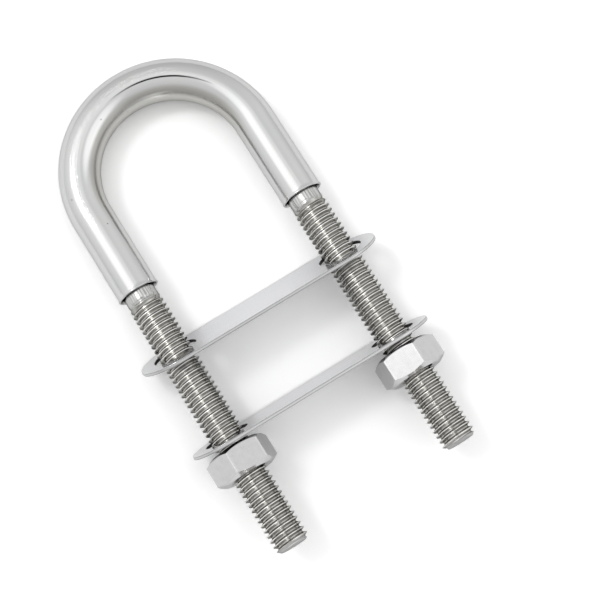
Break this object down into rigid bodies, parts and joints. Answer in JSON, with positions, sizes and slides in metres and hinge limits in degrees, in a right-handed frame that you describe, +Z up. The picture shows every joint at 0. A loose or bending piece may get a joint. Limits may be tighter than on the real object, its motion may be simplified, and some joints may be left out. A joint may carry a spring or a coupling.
{
  "type": "sleeved u-bolt deck eye",
  "caption": "Stainless U-bolt eye: a threaded rod bent into a loop under a polished tube sleeve, with round-ended clamp plates and hex nuts loose on its legs.",
  "frame": {"origin": "on the table under the middle of the object's box, as it lies on its loop and a plate edge", "axes": "+X along the plates, from the left leg to the right leg; +Y along the table towards the loop; +Z up from the table"},
  "size_m": [0.0582, 0.109, 0.0168],
  "materials": {
    "rolled_thread_steel": "bright rolled thread",
    "polished_tube_steel": "mirror polished",
    "stamped_plate_steel": "bright stamped sheet",
    "nut_steel": "bright cold formed"
  },
  "bodies": {
    "u_bolt": {"threaded_rod": "rolled_thread_steel", "loop_sleeve": "polished_tube_steel"},
    "deck_plate": {"deck_plate": "stamped_plate_steel"},
    "backing_plate": {"backing_plate": "stamped_plate_steel"},
    "nut_left": {"nut_left": "nut_steel"},
    "nut_right": {"nut_right": "nut_steel"}
  },
  "joints": [
    {"name": "deck_plate_slide", "type": "slide", "parent": "u_bolt", "child": "deck_plate", "axis": [0, 0.9986, -0.0527], "range_m": [-0.008, 0.0124]},
    {"name": "backing_plate_slide", "type": "slide", "parent": "u_bolt", "child": "backing_plate", "axis": [0, 0.9986, -0.0527], "range_m": [-0.01626, 0.01001]},
    {"name": "nut_left_spin", "type": "hinge", "parent": "backing_plate", "child": "nut_left", "pos_m": [-0.02075, -0.03347, 0.0091], "axis": [0, 0.9986, -0.0527], "range_deg": [-4680, 2880]},
    {"name": "nut_right_spin", "type": "hinge", "parent": "backing_plate", "child": "nut_right", "pos_m": [0.02075, -0.03417, 0.00913], "axis": [0, 0.9986, -0.0527], "range_deg": [-4680, 2880]}
  ],
  "couplings": [
    {"joint": "nut_right_spin", "follows": "nut_left_spin", "ratio": 1},
    {"joint": "backing_plate_slide", "follows": "nut_left_spin", "m_per_rad": 0.00019894}
  ]
}
